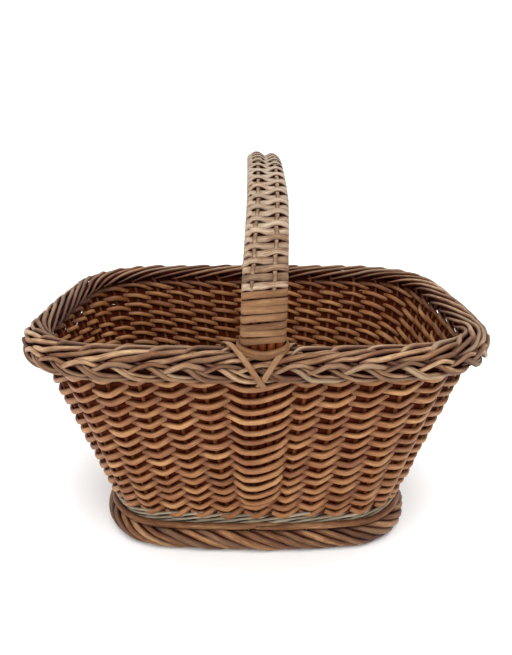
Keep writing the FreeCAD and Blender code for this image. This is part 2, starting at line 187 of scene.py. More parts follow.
def smooth(points, count):
    """Catmull-Rom curve of count points through rows of values, even in its parameter."""
    points = np.asarray(points, float)
    padded = np.concatenate([2 * points[:1] - points[1:2], points, 2 * points[-1:] - points[-2:-1]])
    t = np.linspace(0, len(points) - 1, count)
    i = np.minimum(t.astype(int), len(points) - 2)
    f = (t - i)[:, None]
    a, b, c, d = (padded[i + k] for k in range(4))
    square, cube = 2 * a - 5 * b + 4 * c - d, 3 * (b - c) + d - a
    return 0.5 * (2 * b + (c - a) * f + square * f**2 + cube * f**3)


class Bundle:
    """Strands that become one mesh, each a swept section with its own tint and grain."""

    SHEET = 420.0  # width in millimetres of the sheet on which the strands' skins are laid out
    STRIP_GAP = 1.5  # between strips on the sheet
    DISC_GAP = 1.0  # between the discs of cut ends
    GIRTH = 1.6  # of a rounded section, over the sum of its width and its thickness
    TINT_GRAIN = 37  # moves the grain, so that strands of another tint have another grain
    DOME = 0.12  # height of a cut end's dome over the strand's thickness

    def __init__(self, name):
        self.name = name
        self.points, self.faces, self.grain, self.look, self.uv = [], [], [], [], []
        self.total = 0
        self.shelf = [0.0, 0.0]

    def add(
        self, path, outward, width, thick,
        tint=None, age=0.0, shade=0.0, sides=10, power=2.3, edge=0.45, cut=1.0,
    ):
        """Sweeps a rounded section: width lies in the surface, thick stands out of it.

        Power squares the section. Age greys the strand and cut makes its end faces pale. Shade
        darkens the strand along its run and edge along both of its sides; both are painted shade.
        """
        path, n = np.asarray(path, float), len(path)
        width, thick = np.broadcast_to(width, n), np.broadcast_to(thick, n)
        age = np.broadcast_to(age, n)
        tint = rng.uniform() if tint is None else tint
        tangent = np.gradient(path, axis=0)
        tangent /= np.linalg.norm(tangent, axis=1, keepdims=True) + 1e-9
        across = np.cross(tangent, outward)
        across /= np.linalg.norm(across, axis=1, keepdims=True) + 1e-9
        up = np.cross(across, tangent)
        angle = np.linspace(0, 2 * np.pi, sides, endpoint=False)
        cos, sin = np.cos(angle), np.sin(angle)
        cx = np.sign(cos) * np.abs(cos) ** (2 / power)
        cy = np.sign(sin) * np.abs(sin) ** (2 / power)
        ring = (
            path[:, None]
            + across[:, None] * (width[:, None] / 2 * cx)[..., None]
            + up[:, None] * (thick[:, None] / 2 * cy)[..., None]
        )
        run = np.concatenate([[0], np.cumsum(np.linalg.norm(np.diff(path, axis=0), axis=1))])
        girth = self.GIRTH * (width.mean() + thick.mean())
        tint = np.broadcast_to(tint, n)
        seed = rng.uniform(0, 400)
        start = self.total
        grain = np.zeros((n, sides, 3))
        grain[..., 0] = run[:, None] + seed
        grain[..., 1] = cx[None] * width.mean()
        grain[..., 2] = cy[None] * thick.mean() + self.TINT_GRAIN * tint.mean()
        look = np.zeros((n, sides, 4))
        look[..., 0] = tint[:, None]
        look[..., 1] = age[:, None]
        # The look's alpha is 1 less the painted shade: shade along the run, edge on the section's
        # sides.
        look[..., 3] = (1 - np.broadcast_to(shade, n))[:, None] * (1 - edge * np.abs(cx)[None] ** 3)
        points, grains, looks = [ring.reshape(-1, 3)], [grain.reshape(-1, 3)], [look.reshape(-1, 4)]
        i, j = np.meshgrid(np.arange(n - 1), np.arange(sides), indexing="ij")
        k = (j + 1) % sides
        here, ahead = i * sides, (i + 1) * sides
        quads = np.stack([here + j, here + k, ahead + k, ahead + j], -1)
        faces = (quads.reshape(-1, 4)[:, ::-1] + start).tolist()
        self.uv.append(self.strips(run, girth, sides))
        offset = start + n * sides
        for end, order in ((0, 1), (n - 1, -1)):
            heart = ring[end].mean(axis=0)
            rim = ring[end] * 0.999 + heart * 0.001
            middle = heart + tangent[end] * (-self.DOME * order) * thick[end]
            points.append(np.vstack([rim, middle]))
            grains.append(np.vstack([grain[end], grain[end].mean(axis=0)]))
            cut_look = np.vstack([look[end], look[end][:1]])
            cut_look[:, 2] = cut
            looks.append(cut_look)
            for a in range(sides):
                b = (a + 1) % sides
                faces.append([offset + a, offset + b, offset + sides][::order])
            self.uv.append(self.disc(angle, width[end], order))
            offset += sides + 1
        self.points += points
        self.grain += grains
        self.look += looks
        self.faces += faces
        self.total = offset

    def strips(self, run, girth, sides):
        """Texture places: the strand's skin as strips on shelves, broken where a shelf is full."""
        corners = []
        x, y = self.shelf
        for step in np.diff(run):
            if x + step > self.SHEET:
                x, y = 0.0, y + girth + self.STRIP_GAP
            low = y + girth * np.arange(sides) / sides
            high = low + girth / sides
            block = np.empty((sides, 4, 2))
            block[:, 3] = np.stack([np.full(sides, x), low], -1)
            block[:, 2] = np.stack([np.full(sides, x), high], -1)
            block[:, 1] = np.stack([np.full(sides, x + step), high], -1)
            block[:, 0] = np.stack([np.full(sides, x + step), low], -1)
            corners.append(block.reshape(-1, 2))
            x += step
        self.shelf = [x + self.STRIP_GAP, y]
        self.row = girth
        return np.vstack(corners)

    def disc(self, angle, width, order):
        """Texture places of a cut end, a small disc after the strand's strip."""
        x, y = self.shelf
        if x + width > self.SHEET:
            x, y = 0.0, y + self.row + self.STRIP_GAP
        half = width / 2
        rim = np.stack([x + half * (1 + np.cos(angle)), y + half * (1 + np.sin(angle))], -1)
        middle = np.array([x + half, y + half])
        corners = []
        for a in range(len(angle)):
            corners += [rim[a], rim[(a + 1) % len(angle)], middle][::order]
        self.shelf = [x + width + self.DISC_GAP, y]
        return np.array(corners)

    def build(self, material, slot, *nodes):
        """Makes the bundle's mesh, in metres, as the visible piece of the given nodes."""
        mesh = bpy.data.meshes.new(self.name)
        points = np.vstack(self.points)
        mesh.from_pydata((points * MM).tolist(), [], self.faces)
        mesh.polygons.foreach_set("use_smooth", np.ones(len(self.faces), bool))
        grain = mesh.attributes.new("grain", "FLOAT_VECTOR", "POINT")
        grain.data.foreach_set("vector", np.vstack(self.grain).astype(np.float32).ravel())
        look = mesh.attributes.new("look", "FLOAT_COLOR", "POINT")
        look.data.foreach_set("color", np.vstack(self.look).astype(np.float32).ravel())
        uv = np.vstack(self.uv)
        uv_map = mesh.uv_layers.new(name="OFBake")
        uv_map.data.foreach_set("uv", (uv / (uv.max() + 1.0)).astype(np.float32).ravel())
        mesh.materials.append(material)
        mesh.update()
        piece = bpy.data.objects.new(self.name, mesh)
        bpy.context.scene.collection.objects.link(piece)
        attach(piece, "root")
        if nodes:
            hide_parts(*nodes)


def wander(count, size, scale=6.0):
    """Smooth random wandering of a given size, for count samples."""
    knots = rng.normal(0, size, int(count / scale) + 3)
    return np.interp(np.linspace(0, len(knots) - 1, count), np.arange(len(knots)), knots)


# ---- materials


def srgb(*colour):
    """Linear colour, with an alpha of 1, of an sRGB colour in 0 to 255."""
    linear = (((c / 255 + 0.055) / 1.055) ** 2.4 if c > 10 else c / 255 / 12.92 for c in colour)
    return (*linear, 1)


GREY = (150, 132, 106)
SPECK = (56, 34, 22)
CUT_END = (196, 166, 124)
# Dark red-brown that painted shade multiplies into the willow's colour.
SHADE_COLOUR = (120, 50, 22)


def willow(
    name, dark, middle, pale, grey=GREY, roughness=0.5, streak=1.2, ageing=0.3, shine=0.25
):
    """Peeled willow: tints by strand, grain along the rod, dark specks, grey ageing and pale ends.

    Streak is the strength of the fine grain and ageing how far the strand's broad patches go grey.
    """
    material = bpy.data.materials.new(name)
    material.use_nodes = True
    nodes, links = material.node_tree.nodes, material.node_tree.links
    shader = nodes["Principled BSDF"]

    def node(kind, **values):
        made = nodes.new(kind)
        for key, value in values.items():
            if hasattr(made, key):
                setattr(made, key, value)
            else:
                made.inputs[key.replace("_", " ")].default_value = value
        return made

    def mixed(factor, a, b, blend="MIX"):
        mix = node("ShaderNodeMix", data_type="RGBA", blend_type=blend)
        for socket, value in ((0, factor), (6, a), (7, b)):
            if hasattr(value, "links"):
                links.new(value, mix.inputs[socket])
            else:
                mix.inputs[socket].default_value = value
        return mix.outputs[2]

    def mathed(operation, a, b=0.0, c=0.0, clamp=False):
        made = node("ShaderNodeMath", operation=operation, use_clamp=clamp)
        for i, value in enumerate((a, b, c)):
            if hasattr(value, "links"):
                links.new(value, made.inputs[i])
            else:
                made.inputs[i].default_value = value
        return made.outputs[0]

    def noise(stretch, scale, detail=3.0, rough=0.6):
        mapping = node("ShaderNodeMapping")
        mapping.inputs["Scale"].default_value = stretch
        links.new(grain.outputs["Vector"], mapping.inputs["Vector"])
        texture = node("ShaderNodeTexNoise", Scale=scale, Detail=detail, Roughness=rough)
        links.new(mapping.outputs[0], texture.inputs["Vector"])
        return texture.outputs["Fac"]

    grain = node("ShaderNodeAttribute", attribute_name="grain")
    look = node("ShaderNodeAttribute", attribute_name="look")
    parts = node("ShaderNodeSeparateColor")
    links.new(look.outputs["Color"], parts.inputs[0])
    tint, age, cut = parts.outputs
    # Alpha of the look: 1 where a strand has no painted shade, lower where it has.
    unshaded = look.outputs["Alpha"]

    broad = noise((0.02, 0.05, 0.05), 1.0, 2.0)
    fine = noise((0.05, 1.3, 1.3), 1.0, 4.0, 0.65)
    patches = noise((0.12, 0.45, 0.45), 1.0, 3.0)
    specks = noise((0.3, 0.9, 0.9), 1.0, 2.0)

    tone = mathed("MULTIPLY_ADD", tint, 0.5, mathed("MULTIPLY_ADD", broad, 0.9, -0.2))
    tone = mathed("MULTIPLY_ADD", mathed("SUBTRACT", patches, 0.5), 0.9, tone)
    tone = mathed("MULTIPLY_ADD", mathed("SUBTRACT", fine, 0.5), streak, tone, clamp=True)
    ramp = node("ShaderNodeValToRGB")
    ramp.color_ramp.elements[0].color = srgb(*dark)
    ramp.color_ramp.elements[1].color = srgb(*pale)
    ramp.color_ramp.elements.new(0.5).color = srgb(*middle)
    links.new(tone, ramp.inputs[0])
    colour = ramp.outputs[0]
    patchy = mathed("MULTIPLY_ADD", broad, 2.4, -0.9, clamp=True)
    weathered = mathed("MULTIPLY_ADD", patchy, ageing, age, clamp=True)
    colour = mixed(weathered, colour, srgb(*grey))
    spot = mathed("MULTIPLY_ADD", specks, 9.0, -5.7, clamp=True)
    colour = mixed(mathed("MULTIPLY", spot, 0.65), colour, srgb(*SPECK))
    colour = mixed(mathed("MULTIPLY", cut, 0.5), colour, srgb(*CUT_END))
    # Painted shade: where the look's alpha is below 1 the colour is multiplied by a dark red-brown.
    colour = mixed(unshaded, mixed(1.0, colour, srgb(*SHADE_COLOUR), "MULTIPLY"), colour)
    links.new(colour, shader.inputs["Base Color"])

    rough = mathed("MULTIPLY_ADD", fine, 0.3, roughness - 0.15)
    links.new(rough, shader.inputs["Roughness"])
    shader.inputs["Specular IOR Level"].default_value = shine
    bump = node("ShaderNodeBump", Strength=0.5, Distance=0.0006)
    height = mathed("ADD", mathed("MULTIPLY", fine, 0.9), mathed("MULTIPLY", spot, -0.5))
    links.new(height, bump.inputs["Height"])
    links.new(bump.outputs[0], shader.inputs["Normal"])
    return material


weave_willow = willow(
    "weave_willow", (96, 48, 16), (144, 92, 48), (194, 146, 92),
    ageing=0.12, roughness=0.4, shine=0.35,
)
# Dark willow of the rods that fill gaps and hollows: painted shade.
shade_fill_willow = willow(
    "shade_fill_willow", (68, 24, 8), (88, 34, 12), (106, 46, 18), roughness=0.8, ageing=0.0, shine=0.05
)
stake_willow = willow(
    "stake_willow", (78, 34, 12), (118, 64, 28), (150, 96, 52), ageing=0.0, shine=0.12
)
rim_willow = willow("rim_willow", (66, 32, 14), (118, 78, 46), (196, 162, 124), ageing=0.35)
foot_willow = willow(
    "foot_willow", (54, 24, 8), (106, 64, 32), (176, 130, 84), ageing=0.15, streak=1.6
)
grey_willow = willow(
    "grey_willow", (54, 38, 20), (118, 102, 78), (198, 190, 170), grey=(172, 164, 144), ageing=0.45
)
skein_willow = willow("skein_willow", (72, 38, 16), (110, 70, 36), (154, 110, 66), ageing=0.2)
crown_willow = willow(
    "crown_willow", (62, 32, 14), (122, 86, 54), (212, 188, 160),
    grey=(160, 146, 126), ageing=0.5, streak=1.8,
)
listing_willow = willow("listing_willow", (90, 58, 34), (134, 98, 66), (182, 150, 118), ageing=0.4)
strap_willow = willow("strap_willow", (92, 58, 32), (132, 94, 60), (166, 130, 92))
bow_willow = willow(
    "bow_willow", (84, 32, 10), (124, 62, 24), (158, 96, 50), ageing=0.0, shine=0.12
)
base_willow = willow("base_willow", (60, 30, 14), (98, 58, 30), (138, 92, 56))


# ---- shared shapes


def ramp(value, low, high):
    """Smooth step from 0 at low to 1 at high."""
    share = np.clip((np.asarray(value, float) - low) / (high - low), 0, 1)
    return share * share * (3 - 2 * share)


def tapered(count, start, stop):
    """Widths of a strand from its start to its stop, a little uneven."""
    return np.linspace(start, stop, count) * (1 + wander(count, 0.025))


LAP = 0.04  # share of an outline along which the two ends of a ring's rod lie side by side
BESIDE = 0.45  # how far each of these ends moves aside, over the rod's diameter


def oval_ring(bundle, outline, out, height, diameter, wobble=0.4, tint=None, shade=0.0):
    """Rod laid once round an outline, with thin ends that lie beside one another."""
    samples = 240
    s = np.linspace(0, outline.length * (1 + LAP), samples)
    foot, normal = outline.at(s)
    aside = out + wander(samples, wobble)
    aside = aside - diameter * BESIDE * ramp(s, outline.length * 0.97, outline.length)
    aside = aside + diameter * BESIDE * ramp(-s, -outline.length * 0.05, 0)
    level = height + wander(samples, wobble)
    path = np.concatenate([foot + normal * aside[:, None], level[:, None]], 1)
    outward = np.concatenate([normal, np.zeros((samples, 1))], 1)
    ends = 0.45 + 0.55 * ramp(s, 0, 40) * ramp(-s, -s[-1], -s[-1] + 40)
    bundle.add(path, outward, diameter * ends, diameter * ends, tint=tint, shade=shade)


# ---- stakes

side_half = SIDE_STAKES // 2
right_first, rear_first = side_half + 1, side_half + 1 + END_STAKES
left_first = rear_first + SIDE_STAKES
STAKE_GROUPS = {
    "front_stakes": range(-side_half, right_first),
    "right_end_stakes": range(right_first, rear_first),
    "rear_stakes": range(rear_first, left_first),
    "left_end_stakes": range(left_first, left_first + END_STAKES),
}
for node, numbers in STAKE_GROUPS.items():
    bundle = Bundle("rods_" + node)
    samples = 40
    for number in numbers:
        # The middle stakes end behind the bow rods' tips.
        under_bow = number % (STAKES // 2) == 0
        height = np.linspace(WALL_LOW + 1.5, BOW_TIP + 5 if under_bow else RIM_TOP - 12, samples)
        # Above the weave the stakes lean over to become the border's rods.
        lean = 0.3 * ramp(height, WALL_HIGH, RIM_TOP) ** 1.5
        place = number + lean + wander(samples, 0.01)
        path, outward = wall_point(place, height, wander(samples, 0.2))
        width, thick = tapered(samples, 4.9, 4.2), tapered(samples, 4.8, 4.0)
        # Painted shade: the stakes, which lie behind the strokes, are darkened along their whole
        # run.
        bundle.add(path, outward, width, thick, shade=0.35, sides=8)
    bundle.build(stake_willow, "stake_willow", node)

# ---- randing of the wall

FIRST_MIDDLE = 2.4  # height of the first row's middle over the waling
ROW_FIRST = 11.0  # height of a row at the bottom; it grows upward
ROW_GROWTH = 0.04
WEAVE_TOP = WALL_HIGH + 16.0  # the last strokes lie behind the border
PER_STAKE = 10  # samples of a weaver from one stake to the next
DIP = 2.2  # a stroke lies lower outside a stake and higher inside the next
SAG = 4.5  # and lower still where it spans the bow
REACH = 4.7  # from the wall's middle to the middle of a stroke
BOW_REACH = 1.4  # more where a stroke spans the bow
STROKE_WIDTH = (6.0, 5.2)  # at the butt and at the tip
STROKE_THICK = (4.0, 3.4)
SHARP = 0.97  # how far a stroke's wave is folded: 1 would be a zigzag


def row_height(row):
    return WEAVE_LOW + FIRST_MIDDLE + ROW_FIRST * row + ROW_GROWTH * row**2


trial_rows = np.linspace(0, 20, 400)
WEAVER_ROWS = float(np.interp(WEAVE_TOP, row_height(trial_rows), trial_rows))


def weaver(bundle, start):
    """Rod that begins behind one stake and climbs half a row at every next one."""
    samples = int(2 * WEAVER_ROWS * PER_STAKE)
    along = start + np.linspace(-0.4, 2 * WEAVER_ROWS, samples)
    height = row_height(np.clip((along - start) / 2, 0, None))
    height = height + rng.normal(0, 0.25) + wander(samples, 0.45, PER_STAKE * 1.2)
    # Where a stroke spans the bow rods it is longer, and stands further out than over one stake.
    aside = np.mod(along + STAKES / 4, STAKES / 2) - STAKES / 4
    near, bow = np.abs(aside), ramp(height, BOW_TIP - 16, BOW_TIP + 4)
    front = np.where(np.mod(along + STAKES / 4, STAKES) < STAKES / 2, 1, -1)
    share = (height - WALL_LOW) / (WALL_HIGH - WALL_LOW)
    gap = STAKE_PITCH_LOW + (BOW_STAKE_GAP - STAKE_PITCH_LOW) * np.clip(share, 0, 1)
    bow_edge = np.clip((BOW_HALF - 0.5 + HANDLE_X * np.sign(aside) * front) / gap, 0, 0.53)
    moved = near + (np.clip((near - bow_edge) / (1 - bow_edge), 0, 1) - near) * bow
    phase = along + np.where(near < 1, np.sign(aside) * (moved - near), 0) - start
    wave = np.cos(np.pi * phase)
    folded = np.arcsin(SHARP * wave) / np.arcsin(SHARP)
    swing = 0.5 * wave + 0.5 * folded
    reach = (REACH + BOW_REACH * bow * ramp(-near, -1.1, -0.6)) * rng.normal(1, 0.05)
    sag = SAG * bow * ramp(-near, -1.0, 0.0) * np.maximum(wave, 0)
    # Over the bow the stroke's dip is one smooth curve from stake to stake. Inside it is shallower.
    dip = folded + (np.cos(np.pi * (along - start)) - folded) * bow * (near < 1)
    dip = np.where(dip < 0, 0.4 * dip, dip)
    height = height - DIP * dip * (1 + rng.normal(0, 0.15)) - sag
    path, outward = wall_point(along, height, reach * swing + wander(samples, 0.2, PER_STAKE))
    thick = rng.normal(1, 0.07)
    # Painted shade: a stroke darkens where it passes between stakes, near its top behind the
    # border, and on its sides.
    crossing_shade = 0.5 * (1 - ramp(np.abs(swing), 0.0, 0.55))
    border_shade = 0.9 * ramp(height, WEAVE_TOP - 9, WEAVE_TOP)
    bundle.add(
        path,
        outward,
        tapered(samples, *STROKE_WIDTH) * thick * (1 + wander(samples, 0.06, 4)),
        tapered(samples, *STROKE_THICK) * thick,
        power=3.0,
        sides=12,
        tint=0.5 + 0.5 * rng.uniform(-1, 1) ** 3,
        age=max(0.0, rng.normal(-0.2, 0.2)),
        shade=np.maximum(crossing_shade, border_shade),
        cut=0.0,
        edge=0.5,
    )


for quarter in range(4):
    bundle = Bundle(f"randing_{quarter + 1}")
    for start in range(quarter * STAKES // 4, (quarter + 1) * STAKES // 4):
        weaver(bundle, start)
    bundle.build(weave_willow, "weave_willow", "side_weave")

# Thin dark strips run round the wall between the outer and the inner strokes, at every half
# row. They close the wall, its foot and the hollow of the border, as tightly beaten rods do.
# Their dark colour and shade are painted shade, seen through the gaps.
STRIP_WIDTH = 6.9
STRIP_THICK = 1.2
bundle = Bundle("shade_strips")
strip_rows = [row_height(row / 2 + 0.25) for row in range(int(2 * WEAVER_ROWS) + 1)]
strip_rows += [WEAVE_TOP + 2, WALL_LOW + 3, WALL_LOW + 7]
for level in strip_rows:
    samples = STAKES * 8
    along = np.linspace(0, STAKES, samples)
    height = level + 1.5 * np.sin(2 * np.pi * along) + wander(samples, 0.25, 5)
    deep = wander(samples, 0.3, 5) + 3.0 * ramp(level, WALL_HIGH, WEAVE_TOP)
    deep = deep - 0.5 * (level < WEAVE_LOW)
    path, outward = wall_point(along, height, deep)
    width = STRIP_WIDTH + wander(samples, 0.3, 6)
    bundle.add(path, outward, width, STRIP_THICK, tint=0.2, shade=0.5, sides=8)
bundle.build(shade_fill_willow, "weave_willow", "side_weave")

# ---- three-rod waling at the bottom

# One stroke: out over two stakes, rising, then in behind one (stakes lie at 0.5, 1.5 and 2.5).
WALE_PHASE = [-0.3, 0, 0.3, 0.7, 1.3, 1.7, 2.05, 2.3, 2.5, 2.7, 3.0, 3.3]
WALE_OUT = [-2.2, 0.6, 3.4, 4.1, 4.5, 4.0, 0.6, -3.2, -3.9, -2.2, 0.6, 3.4]
WALE_RISE = [-1.9, -2.4, -2.6, -2.1, 1.7, 2.4, 2.6, 1.7, 0.2, -1.7, -2.4, -2.6]

WALE_WIDTH = 3.0
WALE_THICK = 2.8

for row in range(3):
    name = f"upsett_wale_{row + 1}"
    low, high = node_box(name)
    bundle = Bundle(f"waling_{row + 1}")
    for rod in range(3):
        samples = STAKES * 9
        along = rod + row * STAKES + np.linspace(0, STAKES, samples)
        phase = np.mod(along - rod + 0.5 + rod * 2, 3)
        rise = np.interp(phase, WALE_PHASE, WALE_RISE)
        # Every rod climbs by one row in its round, and the first lies on the foot rod.
        middle = low[2] + (high[2] - low[2]) * (np.linspace(0, 1, samples) + 0.1)
        middle = np.maximum(middle, WALL_LOW + 2.6)
        out = np.interp(phase, WALE_PHASE, WALE_OUT) + wander(samples, 0.12)
        path, outward = wall_point(along, middle + rise + wander(samples, 0.15), out)
        # Painted shade: a rod darkens where it lies inward, behind the stakes, and on its sides.
        dark = 0.95 * (1 - ramp(out, 1.5, 4.3))
        strokes = rng.uniform(0.1, 1.0, int(along[-1]) // 3 + 3)
        tone = np.interp((along - rod + 0.5 + rod * 2) / 3, np.arange(len(strokes)), strokes)
        width = tapered(samples, WALE_WIDTH, WALE_WIDTH) * (1 + wander(samples, 0.1))
        bundle.add(
            path, outward, width, WALE_THICK, tint=tone, sides=8, age=0.25, shade=dark, edge=0.7
        )
    bundle.build(grey_willow, "grey_willow", name)

# ---- foot

foot_rod_low, foot_rod_high = node_box("foot_rod")
bundle = Bundle("foot_ring")
rod_width = foot_rod_high[2] - foot_rod_low[2]
rod_out = foot_rod_high[1] - rod_width / 2 - (foot_high[1] - FOOT_OVERHANG)
middle = (foot_rod_low[2] + foot_rod_high[2]) / 2
oval_ring(bundle, foot_outline.inset(FOOT_OVERHANG), rod_out, middle, rod_width * 0.97)
bundle.build(foot_willow, "foot_willow", "foot_rod")

FOOT_STRANDS = 50
FOOT_STEP = foot_outline.length / FOOT_STRANDS
FOOT_HALF = foot_high[2] / 2
FOOT_WIDTH = 6.7


def section_point(outline, distance, angle, depth, half_out, half_up, middle):
    """Point under the skin of a ring's oval section; angle 0 faces outward and 90 faces up."""
    foot, normal = outline.at(distance)
    turn = np.radians(angle)
    out = (half_out - depth) * np.cos(turn) - half_out
    up = middle + (half_up - depth) * np.sin(turn)
    point = np.concatenate([foot + normal * out[:, None], up[:, None]], 1)
    level, steep = np.cos(turn) / half_out, np.sin(turn) / half_up
    outward = np.concatenate([normal * level[:, None], steep[:, None]], 1)
    return point, outward / np.linalg.norm(outward, axis=1, keepdims=True)


# Steps along the foot, angle round its section, and depth of the rod's middle under its skin.
FOOT_ROLL = [
    (-0.35, 96, 5.5), (0.0, 80, 4.4), (0.5, 58, 3.9), (1.0, 35, 3.9), (1.6, 8, 3.9),
    (2.3, -24, 3.9), (3.0, -56, 3.9), (3.7, -88, 3.9), (4.4, -122, 4.0), (5.0, -155, 4.4),
    (5.6, -190, 5.4),
]
bundle = Bundle("foot_roll")
samples = 56
knots = smooth(FOOT_ROLL, samples)
thin_start = 0.7 + 0.3 * ramp(knots[:, 0], -0.35, 0.4)
# Painted shade: the strands darken where they turn up under the wall, and on their sides.
dark = 0.7 * ramp(knots[:, 1], 50, 85)
for strand in range(FOOT_STRANDS):
    distance = (strand + knots[:, 0] + rng.normal(0, 0.05)) * FOOT_STEP
    angle = knots[:, 1] + rng.normal(0, 1.5) + wander(samples, 1.8)
    depth = knots[:, 2] - 0.4 + np.abs(wander(samples, 0.3)) + abs(rng.normal(0, 0.4))
    path, outward = section_point(
        foot_outline, distance, angle, depth, FOOT_HALF, FOOT_HALF, FOOT_HALF
    )
    width = rng.normal(FOOT_WIDTH, 0.5) * thin_start * (1 + wander(samples, 0.04))
    age = max(0.0, rng.normal(0, 0.12))
    bundle.add(path, outward, width, width, age=age, shade=dark, edge=0.95)
bundle.build(foot_willow, "foot_willow", "foot_border")

# ---- border

RIM_STRANDS = 46
RIM_STEP = rim_outline.length / RIM_STRANDS
RIM_HALF = RIM_THICKNESS / 2
RIM_MIDDLE = RIM_TOP - RIM_DEPTH / 2

# Each kind of strand: steps along the border, angle round its section, how far the rod's middle
# stands out of its usual place, ROD_DEPTH under the skin, and width at that place.
ROD_DEPTH = 2.7
PLAIT_SHIFT = 0.16  # the plait's crests lie this many steps after the starts of the roll
WIDTH_SHARE = 0.87  # of the widths in the tables
OUTER_ROLL = [
    (-0.12, 27, -2.6, 3.4), (0.08, 30, -0.8, 4.6), (0.3, 33, 0.2, 5.3), (0.6, 37, 0.5, 5.5),
    (0.9, 45, 0.5, 5.4), (1.3, 56, 0.4, 5.2), (1.7, 65, 0.2, 5.0), (2.05, 71, -0.3, 4.6),
    (2.3, 75, -1.6, 3.8),
]
INNER_ROLL = [
    (0.8, 52, -4.2, 4.8), (0.95, 60, -2.2, 5.0), (1.12, 72, 0.3, 5.2), (1.32, 84, 1.1, 5.3),
    (1.6, 93, 0.8, 5.0), (2.05, 102, 0.2, 4.7), (2.6, 113, -0.6, 4.5), (3.2, 128, -1.0, 4.2),
    (3.9, 147, -1.6, 3.6), (4.4, 162, -2.8, 2.8), (4.7, 170, -4.6, 2.0),
]
CRESTS = [
    (-1.0, -18, -4.0, 4.4), (-0.79, -8, -1.8, 4.7), (-0.55, 3, 0.7, 5.0), (-0.35, 12, 1.4, 5.2),
    (-0.16, 19.5, 1.9, 5.2), (0.0, 22.5, 2.1, 5.2), (0.14, 21.5, 1.8, 5.1), (0.28, 18, 0.8, 5.0),
    (0.43, 13, -0.8, 5.0), (0.56, 10, -2.4, 4.6), (0.75, 6, -4.4, 4.2),
]
TAILS = [
    (-0.62, 36, -4.6, 4.4), (-0.45, 28, -3.6, 4.6), (-0.22, 14, -2.4, 4.9), (-0.02, 6.5, 0.0, 5.2),
    (0.24, -9, 1.5, 5.4), (0.53, -23, 1.5, 5.4), (0.93, -30, 0.7, 5.2), (1.18, -34, -0.8, 4.9),
    (1.42, -37, -2.8, 4.4), (1.6, -40, -4.4, 4.0),
]
DOUBLES = [
    (-0.1, 16, -3.2, 3.2), (0.12, 8, -0.6, 3.8), (0.34, -3, 0.7, 4.0), (0.6, -14, 0.9, 4.0),
    (0.9, -20, 0.2, 3.8), (1.12, -24, -1.4, 3.4), (1.3, -27, -3.2, 3.0),
]


def rim_strand(bundle, kind, number, samples, shift=0.0):
    """One rod of the border, numbered along it; rods that lie deep are shaded."""
    knots = smooth(kind, samples)
    distance = (number + shift + knots[:, 0] + rng.normal(0, 0.03)) * RIM_STEP
    angle = knots[:, 1] + rng.normal(0, 1.3) + wander(samples, 1.3)
    depth = ROD_DEPTH - knots[:, 2] + rng.normal(0, 0.2) + wander(samples, 0.12)
    path, outward = section_point(
        rim_outline, distance, angle, depth, RIM_HALF, RIM_DEPTH / 2, RIM_MIDDLE
    )
    width = knots[:, 3] * rng.normal(WIDTH_SHARE, 0.08) * (1 + wander(samples, 0.04))
    # Painted shade: rods that lie deep, and the sides of every rod, are darkened in their colour.
    dark = 0.8 * ramp(-knots[:, 2], -0.4, 2.6)
    age = max(0.0, rng.normal(0.0, 0.2))
    bundle.add(path, outward, width, width * 0.94, age=age, shade=dark, edge=0.85)


roll, plait = Bundle("rolled_rods"), Bundle("plaited_rods")
for number in range(RIM_STRANDS):
    rim_strand(roll, OUTER_ROLL, number, 34)
    rim_strand(roll, INNER_ROLL, number, 40)
    rim_strand(plait, CRESTS, number, 36, shift=PLAIT_SHIFT)
    rim_strand(plait, TAILS, number, 40, shift=PLAIT_SHIFT)
    rim_strand(plait, DOUBLES, number, 28, shift=PLAIT_SHIFT)

# Dark rods inside the border fill it: how far out from its outside, and their height.
CORE_RODS = [(-9.5, 212), (-8.5, 218), (-9.5, 224), (-15.0, 227), (-21.0, 228)]
CORE_DIAMETER = 6.4
core = Bundle("border_core")
# Painted shade: the core rods take the dark filler willow and a shade of 0.9.
for out, height in CORE_RODS:
    oval_ring(core, rim_outline, out, height, CORE_DIAMETER, wobble=0.5, tint=0.2, shade=0.9)
core.build(shade_fill_willow, "border_willow", "border_roll")
roll.build(rim_willow, "border_willow", "border_roll")
plait.build(rim_willow, "border_willow", "border_plait")

# ---- line of the handle

ROD_RADIUS = 3.5
ROD_PITCH = 7.5
BOW_RODS = 5
SKEIN = 1.2  # thickness of the skein
HALF_DEPTH = ROD_RADIUS + SKEIN
SHOULDER_TURN = math.radians(50.0)  # slope at which a shoulder's arc meets the crown's
wall_slope = (wall_top.values[1] - wall_bottom.values[1]) / (WALL_HIGH - WALL_LOW)
bow_lean = math.atan(wall_slope)
spring_y = -(wall_bottom.values[1] + wall_slope * (RIM_TOP - WALL_LOW))
spring_turn = math.pi / 2 + bow_lean
# Radii of shoulder and crown follow from the height and the span of the arch.
arch_rise, half_span = rod_high[2] - ROD_RADIUS - RIM_TOP, -spring_y
run_shoulder, run_crown = math.sin(spring_turn) - math.sin(SHOULDER_TURN), math.sin(SHOULDER_TURN)
lift_shoulder = math.cos(SHOULDER_TURN) - math.cos(spring_turn)
lift_crown = 1 - math.cos(SHOULDER_TURN)
scale = run_shoulder * lift_crown - run_crown * lift_shoulder
SHOULDER = (half_span * lift_crown - run_crown * arch_rise) / scale
CROWN = (run_shoulder * arch_rise - half_span * lift_shoulder) / scale
LEG = (RIM_TOP - BOW_TIP) / math.cos(bow_lean)
BEND = SHOULDER * (spring_turn - SHOULDER_TURN)
ARCH = 2 * (BEND + CROWN * SHOULDER_TURN)


